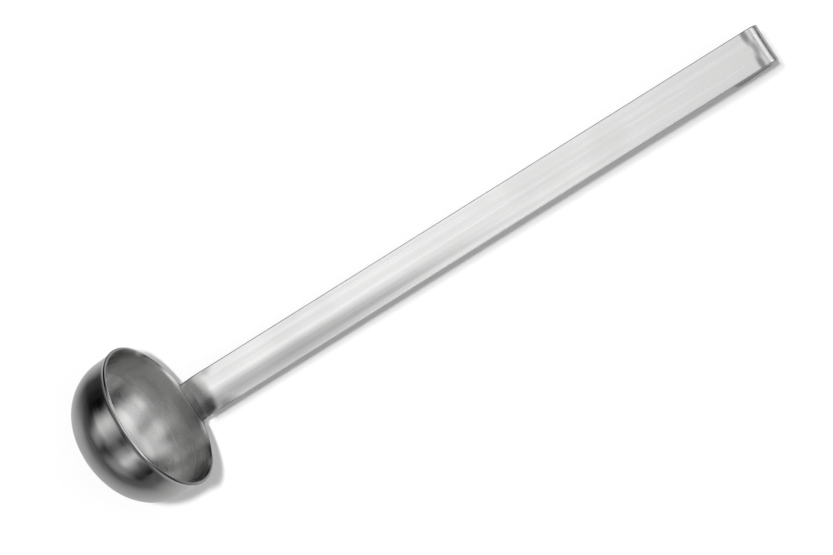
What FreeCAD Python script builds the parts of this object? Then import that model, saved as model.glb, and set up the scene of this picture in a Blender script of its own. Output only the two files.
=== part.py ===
"""Soup ladle of stainless steel: a drawn bowl, a strap handle with a folded hook, and their weld.

Every piece is drawn in the bowl's own frame: the bowl's axis is Z, the plane of the rim is z = 0, and the
handle rises at the +X side, with its width along Y. The pieces are then laid down together, the way the
ladle rests on a table: on the back of the bowl and the tip of the hook, with the handle towards +X.
"""
import FreeCAD
import Part
import math
import os
import Sketcher
from enum import IntEnum

# Driving sizes in millimetres, and angles in degrees
SIZES = {
    # The bowl: outside radius of the lip, sheet, depth outside, and the arcs of its outside
    "rim_radius": 37.3,
    "bowl_wall": 1.5,
    "bowl_depth": 38.5,
    "corner_radius": 24.9,
    "bottom_radius": 48.0,
    "lip_flare": 1.1,
    "lip_height": 3.0,
    "rim_round": 0.4,
    # The weld: height above the rim, how far it fills the lip in front, fillet and blunt end beside the
    # strap, and crown on its back
    "weld_height": 3.0,
    "weld_fill": 1.8,
    "weld_toe": 1.2,
    "weld_toe_edge": 0.3,
    "weld_crown": 0.35,
    # The strap of the handle
    "strap_width": 20.0,
    "strap_thickness": 2.0,
    "edge_round": 0.7,
    # The neck: upright foot, bend measured on the front, and straight run until the strap is flat
    "foot_height": 2.0,
    "neck_bend_radius": 17.0,
    "lean_angle": 28.0,
    "neck_run": 4.0,
    # The flat shank and the hook folded under its end
    "shank_length": 300.0,
    "hook_radius": 4.2,
    "hook_angle": 158.0,
    "hook_leg": 20.0,
    "tip_radius": 3.5,
}

# Sizes worked out from the driving ones, as formulas of the sheet
WORKED_OUT = {
    "body_radius": "rim_radius - lip_flare",
    "lip_radius": "(lip_height ^ 2 + lip_flare ^ 2) / (2 * lip_flare)",
    "lip_centre": "body_radius + lip_radius",
    "lip_inside": "lip_radius + bowl_wall",
    "rim_inner": "lip_centre - sqrt(lip_inside ^ 2 - lip_height ^ 2)",
    "foot_radius": "body_radius - bowl_wall",
    "foot_back": "foot_radius + strap_thickness",
    "ring_floor": "(weld_fill + lip_height) / 2",
    "ring_edge": "lip_centre - sqrt(lip_inside ^ 2 - (lip_height - ring_floor) ^ 2)",
    "fill_radius": "((strap_width / 2 + weld_toe) ^ 2 + weld_fill ^ 2) / (2 * weld_fill)",
    "weld_chord": "sqrt(weld_height ^ 2 + (foot_back - rim_radius) ^ 2)",
    "weld_back": "(weld_chord ^ 2 / 4 + weld_crown ^ 2) / (2 * weld_crown)",
    "weld_reach": "foot_back + weld_height",
}

NECK_SECTIONS = 7
NEAR = 1e-6
ORIGIN = FreeCAD.Vector()
SIDEWAYS = FreeCAD.Vector(0, 1, 0)


class EdgePoint(IntEnum):
    """Points of a sketched edge, numbered the way a sketch's rules name them."""

    START = 1
    END = 2
    CENTRE = 3


class SketchAxis(IntEnum):
    """A sketch's own axes, numbered the way its rules name them."""

    HORIZONTAL = -1
    VERTICAL = -2


START, END, CENTRE = EdgePoint
H_AXIS, V_AXIS = SketchAxis

doc = FreeCAD.newDocument("ladle")


def make_sheet():
    """Spreadsheet with one named cell for each size, driving sizes first."""
    sheet = doc.addObject("Spreadsheet::Sheet", "Sizes")
    texts = {name: str(value) for name, value in SIZES.items()}
    texts.update({name: "=" + formula for name, formula in WORKED_OUT.items()})
    for row, (name, text) in enumerate(texts.items(), start=1):
        sheet.set(f"A{row}", name)
        sheet.set(f"B{row}", text)
        sheet.setAlias(f"B{row}", name)
    doc.recompute()
    return sheet


sheet = make_sheet()


def size(name):
    """Value of a named size."""
    return float(sheet.get(name))


# Helpers for sketches


def point(x, y):
    """Point in a sketch's plane."""
    return FreeCAD.Vector(x, y, 0)


def line(start, end):
    """Straight edge of a sketch."""
    return Part.LineSegment(point(*start), point(*end))


def arc(centre, radius, start_angle, end_angle):
    """Round edge of a sketch, anticlockwise, with angles in radians."""
    circle = Part.Circle(point(*centre), FreeCAD.Vector(0, 0, 1), radius)
    return Part.ArcOfCircle(circle, start_angle, end_angle)


def new_sketch(body, name, role):
    """Sketch on one of the body's own origin planes."""
    sketch = body.newObject("Sketcher::SketchObject", name)
    plane = next(feature for feature in body.Origin.OriginFeatures if feature.Role == role)
    sketch.AttachmentSupport = [(plane, "")]
    sketch.MapMode = "FlatFace"
    return sketch


def constrain(sketch, *rules):
    """Add rules without a size, each given as the kind and the places that it ties."""
    for rule in rules:
        sketch.addConstraint(Sketcher.Constraint(*rule))


def dimension(sketch, name, rule, unit=""):
    """Add a rule with a size and bind it to the sheet's cell of that name."""
    value = FreeCAD.Units.Quantity(f"{size(name)} {unit or 'mm'}")
    index = sketch.addConstraint(Sketcher.Constraint(*rule, value))
    sketch.renameConstraint(index, name)
    factor = f" * 1 {unit}" if unit else ""
    sketch.setExpression(f"Constraints.{name}", f"Sizes.{name}{factor}")


def edge_names(shape, wanted):
    """Names of the edges of a shape that pass a test."""
    return [f"Edge{index}" for index, edge in enumerate(shape.Edges, start=1) if wanted(edge)]


def round_edges(body, name, base, wanted, radius_name):
    """Fillet on the edges of a feature that pass a test."""
    doc.recompute()
    fillet = body.newObject("PartDesign::Fillet", name)
    fillet.Base = (base, edge_names(base.Shape, wanted))
    fillet.setExpression("Radius", f"Sizes.{radius_name}")
    return fillet


# Bowl


def bowl_arcs():
    """Height of the straight wall's end, height of the bottom arc's centre, angle where the arcs meet."""
    across = size("body_radius") - size("corner_radius")
    between = size("bottom_radius") - size("corner_radius")
    rise = math.sqrt(between ** 2 - across ** 2)
    bottom_centre = size("bottom_radius") - size("bowl_depth")
    return bottom_centre - rise, bottom_centre, math.atan2(rise, across)


def bowl_profile(body):
    """Half section of the bowl: bottom arc, corner arc, wall and flared lip, outside and inside."""
    wall_end, bottom_centre, meet = bowl_arcs()
    outer = size("body_radius")
    wall = size("bowl_wall")
    inner = outer - wall
    corner = (outer - size("corner_radius"), wall_end)
    bottom = (0, bottom_centre)
    lip = (size("lip_centre"), -size("lip_height"))
    lip_outer = math.asin(size("lip_height") / size("lip_radius"))
    lip_inner = math.asin(size("lip_height") / (size("lip_radius") + wall))
    depth = size("bowl_depth")
    sketch = new_sketch(body, "bowl_profile", "XZ_Plane")
    sketch.addGeometry([
        arc(bottom, size("bottom_radius"), -math.pi / 2, -meet),
        arc(corner, size("corner_radius"), -meet, 0),
        line((outer, wall_end), (outer, lip[1])),
        arc(lip, size("lip_radius"), math.pi - lip_outer, math.pi),
        line((size("rim_radius"), 0), (size("rim_inner"), 0)),
        arc(lip, size("lip_radius") + wall, math.pi - lip_inner, math.pi),
        line((inner, lip[1]), (inner, wall_end)),
        arc(corner, size("corner_radius") - wall, -meet, 0),
        arc(bottom, size("bottom_radius") - wall, -math.pi / 2, -meet),
        line((0, wall - depth), (0, -depth)),
    ])
    (bottom_out, corner_out, wall_out, lip_out, rim,
     lip_in, wall_in, corner_in, bottom_in, axis) = range(sketch.GeometryCount)
    constrain(
        sketch,
        ("Tangent", bottom_out, END, corner_out, START),
        ("Tangent", corner_out, END, wall_out, START),
        ("Tangent", wall_out, END, lip_out, END),
        ("Coincident", lip_out, START, rim, START),
        ("Coincident", rim, END, lip_in, START),
        ("Tangent", lip_in, END, wall_in, START),
        ("Tangent", wall_in, END, corner_in, END),
        ("Tangent", corner_in, START, bottom_in, END),
        ("Coincident", bottom_in, START, axis, START),
        ("Coincident", axis, END, bottom_out, START),
        ("Coincident", bottom_out, CENTRE, bottom_in, CENTRE),
        ("Coincident", corner_out, CENTRE, corner_in, CENTRE),
        ("Coincident", lip_out, CENTRE, lip_in, CENTRE),
        ("Vertical", wall_out),
        ("Vertical", wall_in),
        ("Horizontal", rim),
        ("PointOnObject", rim, START, H_AXIS),
        ("PointOnObject", axis, START, V_AXIS),
        ("PointOnObject", axis, END, V_AXIS),
        ("PointOnObject", bottom_out, CENTRE, V_AXIS),
    )
    dimension(sketch, "rim_radius", ("DistanceX", H_AXIS, START, rim, START))
    dimension(sketch, "lip_flare", ("DistanceX", wall_out, END, lip_out, START))
    dimension(sketch, "lip_height", ("DistanceY", wall_out, END, H_AXIS, START))
    dimension(sketch, "bowl_depth", ("DistanceY", bottom_out, START, H_AXIS, START))
    dimension(sketch, "bowl_wall", ("DistanceX", wall_in, START, wall_out, END))
    dimension(sketch, "corner_radius", ("Radius", corner_out))
    dimension(sketch, "bottom_radius", ("Radius", bottom_out))
    return sketch


def make_bowl():
    """Bowl turned from its half section, with both edges of the rim rounded."""
    body = doc.addObject("PartDesign::Body", "bowl")
    sketch = bowl_profile(body)
    shell = body.newObject("PartDesign::Revolution", "bowl_shell")
    shell.Profile = sketch
    shell.ReferenceAxis = (sketch, ["V_Axis"])
    round_edges(body, "rim_rounding", shell, lambda edge: edge.BoundBox.ZMin > -NEAR, "rim_round")
    return body


# Weld


def weld_profile(body):
    """Section of the weld: on the rim, flush with the bowl's wall in front, crowned behind."""
    height = size("weld_height")
    floor = size("ring_floor")
    front = size("foot_radius")
    lip = (size("lip_centre"), -size("lip_height"))
    lip_top = math.asin(size("lip_height") / size("lip_inside"))
    lip_low = math.asin((size("lip_height") - floor) / size("lip_inside"))
    lower = (size("rim_radius"), 0)
    upper = (size("foot_back"), height)
    along = math.atan2(upper[1] - lower[1], upper[0] - lower[0])
    half_sweep = math.asin(size("weld_chord") / 2 / size("weld_back"))
    start_angle = along - math.pi / 2 - half_sweep
    back_centre = (lower[0] - size("weld_back") * math.cos(start_angle),
                   lower[1] - size("weld_back") * math.sin(start_angle))
    sketch = new_sketch(body, "weld_profile", "XZ_Plane")
    sketch.addGeometry([
        line((front, -floor), (size("ring_edge"), -floor)),
        arc(lip, size("lip_inside"), math.pi - lip_top, math.pi - lip_low),
        line((size("rim_inner"), 0), lower),
        arc(back_centre, size("weld_back"), start_angle, start_angle + 2 * half_sweep),
        line(upper, (front, height)),
        line((front, height), (front, -floor)),
    ])
    base, filled, root, back, top, face = range(sketch.GeometryCount)
    constrain(
        sketch,
        ("Coincident", base, END, filled, END),
        ("Coincident", filled, START, root, START),
        ("Coincident", root, END, back, START),
        ("Coincident", back, END, top, START),
        ("Coincident", top, END, face, START),
        ("Coincident", face, END, base, START),
        ("PointOnObject", root, START, H_AXIS),
        ("Horizontal", base),
        ("Horizontal", root),
        ("Horizontal", top),
        ("Vertical", face),
    )
    dimension(sketch, "rim_inner", ("DistanceX", H_AXIS, START, root, START))
    dimension(sketch, "rim_radius", ("DistanceX", H_AXIS, START, root, END))
    dimension(sketch, "foot_radius", ("DistanceX", H_AXIS, START, top, END))
    dimension(sketch, "strap_thickness", ("DistanceX", top, END, top, START))
    dimension(sketch, "weld_height", ("DistanceY", H_AXIS, START, top, START))
    dimension(sketch, "ring_floor", ("DistanceY", base, START, H_AXIS, START))
    dimension(sketch, "lip_inside", ("Radius", filled))
    dimension(sketch, "ring_edge", ("DistanceX", H_AXIS, START, base, END))
    dimension(sketch, "weld_back", ("Radius", back))
    return sketch


def weld_outline(body):
    """Outline of the weld from the front: a fillet and a blunt end on each side, an arc below."""
    half = size("strap_width") / 2
    toe = size("weld_toe")
    edge = size("weld_toe_edge")
    reach = half + toe
    height = size("weld_height")
    below = size("fill_radius")
    half_turn = math.asin(reach / below)
    sketch = new_sketch(body, "weld_outline", "YZ_Plane")
    sketch.addGeometry([
        arc((0, below - size("weld_fill")), below, -math.pi / 2 - half_turn, -math.pi / 2 + half_turn),
        line((reach, 0), (reach, edge)),
        arc((reach, edge + toe), toe, math.pi, 3 * math.pi / 2),
        line((half, edge + toe), (half, height)),
        line((half, height), (-half, height)),
        line((-half, height), (-half, edge + toe)),
        arc((-reach, edge + toe), toe, -math.pi / 2, 0),
        line((-reach, edge), (-reach, 0)),
    ])
    (base, right_end, right_toe, right_side,
     top, left_side, left_toe, left_end) = range(sketch.GeometryCount)
    constrain(
        sketch,
        ("Coincident", base, END, right_end, START),
        ("Coincident", right_end, END, right_toe, END),
        ("Tangent", right_toe, START, right_side, START),
        ("Coincident", right_side, END, top, START),
        ("Coincident", top, END, left_side, START),
        ("Tangent", left_side, END, left_toe, END),
        ("Coincident", left_toe, START, left_end, START),
        ("Coincident", left_end, END, base, START),
        ("Symmetric", base, START, base, END, V_AXIS),
        ("Symmetric", top, START, top, END, V_AXIS),
        ("PointOnObject", base, START, H_AXIS),
        ("Vertical", right_end),
        ("Vertical", left_end),
        ("Vertical", right_side),
        ("Vertical", left_side),
        ("Vertical", right_toe, CENTRE, right_toe, END),
        ("Vertical", left_toe, CENTRE, left_toe, START),
        ("Equal", right_end, left_end),
    )
    dimension(sketch, "strap_width", ("DistanceX", top, END, top, START))
    dimension(sketch, "fill_radius", ("Radius", base))
    dimension(sketch, "weld_toe", ("Radius", right_toe))
    dimension(sketch, "weld_toe_edge", ("DistanceY", right_end, START, right_end, END))
    dimension(sketch, "weld_height", ("DistanceY", H_AXIS, START, top, START))
    return sketch


def make_weld():
    """Weld along the rim: the ring of its section, kept only inside its outline below the strap's foot."""
    ring_body = doc.addObject("PartDesign::Body", "weld_ring")
    section = weld_profile(ring_body)
    ring = ring_body.newObject("PartDesign::Revolution", "weld_turned")
    ring.Profile = section
    ring.ReferenceAxis = (section, ["V_Axis"])
    outline_body = doc.addObject("PartDesign::Body", "weld_front_view")
    pad = outline_body.newObject("PartDesign::Pad", "weld_length")
    pad.Profile = weld_outline(outline_body)
    pad.setExpression("Length", "Sizes.weld_reach")
    weld = doc.addObject("Part::Common", "weld")
    weld.Base = ring_body
    weld.Tool = outline_body
    return weld


# Handle: dished neck


def neck_station(share):
    """Front point of the neck and its lean in radians, at a share of its length above the weld."""
    lean = math.radians(size("lean_angle"))
    foot = size("foot_height")
    radius = size("neck_bend_radius")
    bend = radius * lean
    along = share * (foot + bend + size("neck_run"))
    turn = min(max(along - foot, 0) / radius, lean)
    straight = max(along - foot - bend, 0)
    x = size("foot_radius") + radius * (1 - math.cos(turn)) + straight * math.sin(turn)
    z = size("weld_height") + min(along, foot) + radius * math.sin(turn) + straight * math.cos(turn)
    return FreeCAD.Vector(x, 0, z), turn


def dished_depth(radius, across):
    """How far a dished face of this radius stands forward at a distance from its middle."""
    return radius - math.sqrt(radius ** 2 - across ** 2)


def strap_corners(bow):
    """Corner fillets of the strap's section at its right side: end, middle and end of each.

    Points are pairs of distance from the middle and depth behind the front. The bow is the curvature
    of the front, zero where the strap is flat.
    """
    half = size("strap_width") / 2
    thickness = size("strap_thickness")
    radius = size("edge_round")
    centre_across = half - radius
    corners = []
    for depth, side in ((0, -1), (thickness, 1)):
        offset = depth - side * radius
        tilt = 0
        centre_depth = offset
        if bow:
            centre_depth = offset - dished_depth(1 / bow + offset, centre_across)
            tilt = math.asin(centre_across / (1 / bow + offset))
        towards = math.pi / 2 - tilt if side > 0 else -math.pi / 2 - tilt
        points = [(centre_across + radius * math.cos(turn), centre_depth + radius * math.sin(turn))
                  for turn in (towards, towards / 2, 0)]
        corners.append(points)
    return corners


def strap_section(share):
    """Closed wire of the strap's section on the neck, dished like the rim at the foot, flat at the top."""
    base, lean = neck_station(share)
    ease = share ** 2 * (3 - 2 * share)
    bow = (1 - ease) / size("foot_radius")
    backwards = FreeCAD.Vector(math.cos(lean), 0, -math.sin(lean))

    def place(pair):
        """Point of the section in the bowl's frame."""
        return base + SIDEWAYS * pair[0] + backwards * pair[1]

    def mirrored(pair):
        """Point on the left for one on the right."""
        return (-pair[0], pair[1])

    def curve(start, middle, end):
        """Arc through three points, or a line where the strap is flat."""
        if abs(middle[1] - start[1]) < NEAR and abs(end[1] - start[1]) < NEAR:
            return Part.LineSegment(place(start), place(end)).toShape()
        return Part.Arc(place(start), place(middle), place(end)).toShape()

    front, back = strap_corners(bow)
    edges = [
        curve(mirrored(front[0]), (0, 0), front[0]),
        curve(*front),
        Part.LineSegment(place(front[2]), place(back[2])).toShape(),
        curve(*reversed(back)),
        curve(back[0], (0, size("strap_thickness")), mirrored(back[0])),
        curve(*map(mirrored, back)),
        Part.LineSegment(place(mirrored(back[2])), place(mirrored(front[2]))).toShape(),
        curve(*map(mirrored, reversed(front))),
    ]
    return Part.Wire(edges)


def make_neck():
    """Neck of the strap, lofted from its dished foot on the weld to the flat shank."""
    neck = doc.addObject("Part::Feature", "neck")
    wires = [strap_section(number / (NECK_SECTIONS - 1)) for number in range(NECK_SECTIONS)]
    neck.Shape = Part.makeLoft(wires, True, False)
    return neck


# Handle: flat shank and hook


def shank_placement():
    """Where the shank starts: at the top of the neck, along its lean."""
    base, lean = neck_station(1)
    return FreeCAD.Placement(base, FreeCAD.Rotation(SIDEWAYS, math.degrees(lean) - 90))


def in_side_view(pair):
    """Point in the shank's middle plane."""
    return FreeCAD.Vector(pair[0], 0, pair[1])


def hook_point(depth, along):
    """Point on the hook's leg in the shank's plane: depth behind the front, distance past the bend."""
    angle = math.radians(size("hook_angle"))
    radius = size("hook_radius") + size("strap_thickness") - depth
    centre = (size("shank_length"), -size("hook_radius") - size("strap_thickness"))
    return (centre[0] + radius * math.sin(angle) + along * math.cos(angle),
            centre[1] + radius * math.cos(angle) - along * math.sin(angle))


def shank_profile(body):
    """Side view of the shank and the hook, one strap's thickness deep."""
    length = size("shank_length")
    thickness = size("strap_thickness")
    leg = size("hook_leg")
    centre = (length, -size("hook_radius") - thickness)
    bend_end = math.pi / 2 - math.radians(size("hook_angle"))
    sketch = new_sketch(body, "shank_profile", "XZ_Plane")
    sketch.addGeometry([
        line((0, 0), (length, 0)),
        arc(centre, size("hook_radius") + thickness, bend_end, math.pi / 2),
        line(hook_point(0, 0), hook_point(0, leg)),
        line(hook_point(0, leg), hook_point(thickness, leg)),
        line(hook_point(thickness, leg), hook_point(thickness, 0)),
        arc(centre, size("hook_radius"), bend_end, math.pi / 2),
        line((length, -thickness), (0, -thickness)),
        line((0, -thickness), (0, 0)),
    ])
    (front, bend_out, leg_out, tip, leg_in, bend_in, back, start) = range(sketch.GeometryCount)
    constrain(
        sketch,
        ("Coincident", front, START, H_AXIS, START),
        ("Tangent", front, END, bend_out, END),
        ("Tangent", bend_out, START, leg_out, START),
        ("Coincident", leg_out, END, tip, START),
        ("Coincident", tip, END, leg_in, START),
        ("Tangent", leg_in, END, bend_in, START),
        ("Tangent", bend_in, END, back, START),
        ("Coincident", back, END, start, START),
        ("Coincident", start, END, front, START),
        ("Coincident", bend_out, CENTRE, bend_in, CENTRE),
        ("Horizontal", front),
        ("Horizontal", back),
        ("Vertical", start),
        ("Perpendicular", tip, leg_out),
        ("Parallel", leg_in, leg_out),
    )
    dimension(sketch, "shank_length", ("DistanceX", front, START, front, END))
    dimension(sketch, "strap_thickness", ("DistanceY", start, START, start, END))
    dimension(sketch, "hook_radius", ("Radius", bend_in))
    dimension(sketch, "hook_angle", ("Angle", bend_out), "deg")
    dimension(sketch, "hook_leg", ("Distance", leg_out, START, leg_out, END))
    return sketch


def make_shank():
    """Shank and hook: the side view padded to the strap's width, with a rounded tip and softened edges."""
    half = size("strap_width") / 2
    tip = in_side_view(hook_point(0, size("hook_leg")))
    body = doc.addObject("PartDesign::Body", "shank")
    pad = body.newObject("PartDesign::Pad", "shank_strap")
    pad.Profile = shank_profile(body)
    pad.SideType = "Symmetric"
    pad.setExpression("Length", "Sizes.strap_width")

    def at_tip(edge):
        """Whether an edge is one of the two short corners of the hook's tip."""
        ends = [vertex.Point for vertex in edge.Vertexes]
        near_tip = min((end - tip).cross(SIDEWAYS).Length for end in ends) < NEAR
        through = abs(edge.Length - size("strap_thickness")) < NEAR
        return near_tip and through and edge.BoundBox.YLength < NEAR

    def on_side(edge):
        """Whether an edge runs along a side of the strap, away from the neck."""
        box = edge.BoundBox
        return box.YLength < NEAR and abs(abs(box.YMin) - half) < NEAR and box.XMax > NEAR

    corners = round_edges(body, "tip_rounding", pad, at_tip, "tip_radius")
    round_edges(body, "edge_rounding", corners, on_side, "edge_round")
    body.Placement = shank_placement()
    return body


def make_handle():
    """Handle: the dished neck and the shank with its hook, in one strap."""
    handle = doc.addObject("Part::Fuse", "handle")
    handle.Base = make_neck()
    handle.Tool = make_shank()
    return handle


# Laying the ladle down


def rest_tilt():
    """Angle in degrees of the bowl's axis above the table, with bowl and hook tip both touching it."""
    wall_end = bowl_arcs()[0]
    corner = FreeCAD.Vector(size("body_radius") - size("corner_radius"), 0, wall_end)
    rounding = size("edge_round")
    tip = in_side_view(hook_point(rounding, size("hook_leg") - rounding))
    apart = corner - shank_placement().multVec(tip)
    reach = math.hypot(apart.x, apart.z)
    swing = math.acos((rounding - size("corner_radius")) / reach)
    return math.degrees(-swing - math.atan2(apart.z, apart.x))


def rest_placement(pieces):
    """Placement that lays the pieces on the table, centred on their box."""
    turned = FreeCAD.Placement(ORIGIN, FreeCAD.Rotation(SIDEWAYS, 90 - rest_tilt()))
    box = FreeCAD.BoundBox()
    for piece in pieces:
        shape = piece.Shape.copy()
        shape.Placement = turned.multiply(shape.Placement)
        box.add(shape.optimalBoundingBox(False, False))
    turned.Base = FreeCAD.Vector(-box.Center.x, -box.Center.y, -box.ZMin)
    return turned


def check(objects, pieces):
    """Stop if an object failed or a piece isn't one sound solid."""
    for item in objects:
        if {"Invalid", "Error"} & set(item.State):
            raise RuntimeError(f"{item.Name} failed: {item.State}")
    for piece in pieces:
        shape = piece.Shape
        if shape.isNull() or not shape.isValid() or len(shape.Solids) != 1:
            raise RuntimeError(f"{piece.Label} isn't one sound solid")


pieces = [make_bowl(), make_weld(), make_handle()]
doc.recompute()
check(doc.Objects, pieces)
placement = rest_placement(pieces)
for piece in pieces:
    piece.Placement = placement
doc.recompute()
check(doc.Objects, pieces)

os.makedirs("parts", exist_ok=True)
for piece in pieces:
    piece.Shape.exportStep(f"parts/{piece.Label}.step")
    box = piece.Shape.optimalBoundingBox(False, False)
    print(f"{piece.Label}: {piece.Shape.Volume:.1f} mm3, x {box.XMin:.2f} to {box.XMax:.2f},"
          f" y {box.YMin:.2f} to {box.YMax:.2f}, z {box.ZMin:.2f} to {box.ZMax:.2f}")
print(f"bowl's axis {rest_tilt():.2f} degrees above the table")
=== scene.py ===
"""Soup ladle of stainless steel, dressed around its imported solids: bowl, strap handle and weld.

Each piece is shaped in the bowl's own frame, where the bowl's axis is Z, the plane of the rim is z = 0 and
the handle rises at +X with its width along Y. It is then laid on the table the way the solids lie.
"""

import logging
import math
from dataclasses import dataclass
from enum import Enum

import bpy
from mathutils import Matrix, Vector


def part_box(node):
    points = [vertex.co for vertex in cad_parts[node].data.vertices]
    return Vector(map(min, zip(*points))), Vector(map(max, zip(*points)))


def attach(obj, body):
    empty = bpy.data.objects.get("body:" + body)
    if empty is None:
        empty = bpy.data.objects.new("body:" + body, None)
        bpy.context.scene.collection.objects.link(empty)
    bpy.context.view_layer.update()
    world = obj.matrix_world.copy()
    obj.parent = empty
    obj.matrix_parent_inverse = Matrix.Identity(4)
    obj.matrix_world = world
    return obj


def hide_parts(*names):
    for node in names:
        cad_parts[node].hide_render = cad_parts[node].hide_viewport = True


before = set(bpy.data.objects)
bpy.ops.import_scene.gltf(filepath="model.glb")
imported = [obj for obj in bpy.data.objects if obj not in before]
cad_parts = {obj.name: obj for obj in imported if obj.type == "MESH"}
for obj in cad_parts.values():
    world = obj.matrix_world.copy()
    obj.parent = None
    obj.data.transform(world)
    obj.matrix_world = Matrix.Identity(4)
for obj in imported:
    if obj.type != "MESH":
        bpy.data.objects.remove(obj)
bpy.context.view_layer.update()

MM = 0.001
BODY = "root"
SURFACE_PLACE = "surface_place"
BRUSH_LINE = "brush_line"

log = logging.getLogger("ladle")

Item = bpy.types.Object
Material = bpy.types.Material
Pair = tuple[float, float]
Setting = object
Socket = bpy.types.NodeSocket
Tree = bpy.types.NodeTree
Triple = tuple[float, float, float]


class Piece(Enum):
    """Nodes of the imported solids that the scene's pieces stand for."""

    BOWL = "bowl"
    HANDLE = "handle"
    WELD = "weld"


class Slot(Enum):
    """Material slots of the record."""

    BOWL = "bowl_steel"
    HANDLE = "handle_steel"
    WELD = "weld_steel"


# Node trees


class TreeKind(Enum):
    """Kinds of node group."""

    SHADER = "ShaderNodeTree"
    GEOMETRY = "GeometryNodeTree"


class Kind(Enum):
    """Kinds of socket on a node group."""

    NUMBER = "NodeSocketFloat"
    COUNT = "NodeSocketInt"
    VECTOR = "NodeSocketVector"
    GEOMETRY = "NodeSocketGeometry"
    OBJECT = "NodeSocketObject"
    MATERIAL = "NodeSocketMaterial"


class Nodes:
    """Shorthand for filling a node tree."""

    def __init__(self, tree: Tree) -> None:
        """Start on a tree."""
        self.tree = tree

    def feed(self, socket: Socket, value: Setting) -> None:
        """Link a socket to another socket, or set it to a plain value.

        Args:
            socket: the input that is fed.
            value: a socket of another node, or a plain value.
        """
        if isinstance(value, Socket):
            self.tree.links.new(value, socket)
        else:
            socket.default_value = value

    def add(self, kind: str, inputs: dict[str | int, Setting] | None = None,
            **settings: Setting) -> bpy.types.Node:
        """Add a node.

        Args:
            kind: the node's type.
            inputs: values or sockets for its inputs, by name or number.
            settings: the node's own options.

        Returns:
            The node.
        """
        node = self.tree.nodes.new(kind)
        for name, value in settings.items():
            setattr(node, name, value)
        for name, value in (inputs or {}).items():
            self.feed(node.inputs[name], value)
        return node

    def math(self, operation: str, first: Setting, second: Setting = 0.0) -> Socket:
        """Result of a sum on two numbers."""
        return self.add("ShaderNodeMath", {0: first, 1: second}, operation=operation).outputs[0]

    def vector(self, operation: str, first: Setting, second: Setting = (0, 0, 0)) -> Socket:
        """Result of a sum on two vectors."""
        return self.add("ShaderNodeVectorMath", {0: first, 1: second}, operation=operation).outputs[0]

    def scaled(self, direction: Setting, factor: Setting) -> Socket:
        """A vector times a number."""
        node = self.add("ShaderNodeVectorMath", {0: direction, "Scale": factor}, operation="SCALE")
        return node.outputs[0]

    def dot(self, first: Setting, second: Setting) -> Socket:
        """Dot product of two vectors."""
        node = self.add("ShaderNodeVectorMath", {0: first, 1: second}, operation="DOT_PRODUCT")
        return node.outputs["Value"]

    def length(self, direction: Setting) -> Socket:
        """Length of a vector."""
        return self.add("ShaderNodeVectorMath", {0: direction}, operation="LENGTH").outputs["Value"]

    def xyz(self, x: Setting = 0.0, y: Setting = 0.0, z: Setting = 0.0) -> Socket:
        """A vector from three numbers."""
        return self.add("ShaderNodeCombineXYZ", {0: x, 1: y, 2: z}).outputs[0]

    def parts(self, direction: Setting) -> list[Socket]:
        """The three numbers of a vector."""
        return list(self.add("ShaderNodeSeparateXYZ", {0: direction}).outputs)

    def attribute(self, name: str) -> Socket:
        """A vector that is stored on the surface under a name."""
        return self.add("ShaderNodeAttribute", attribute_name=name).outputs["Vector"]

    def ranged(self, value: Setting, low: Setting, high: Setting, to_low: float = 0.0,
               to_high: float = 1.0, smooth: bool = True) -> Socket:
        """A number carried from one range to another, held at its ends.

        Args:
            value: the number.
            low: start of the range that it is carried from.
            high: end of that range.
            to_low: start of the range that it is carried to.
            to_high: end of that range.
            smooth: whether it eases in and out.

        Returns:
            The carried number.
        """
        kind = "SMOOTHSTEP" if smooth else "LINEAR"
        inputs = {"Value": value, "From Min": low, "From Max": high, "To Min": to_low, "To Max": to_high}
        return self.add("ShaderNodeMapRange", inputs, interpolation_type=kind).outputs[0]


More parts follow.
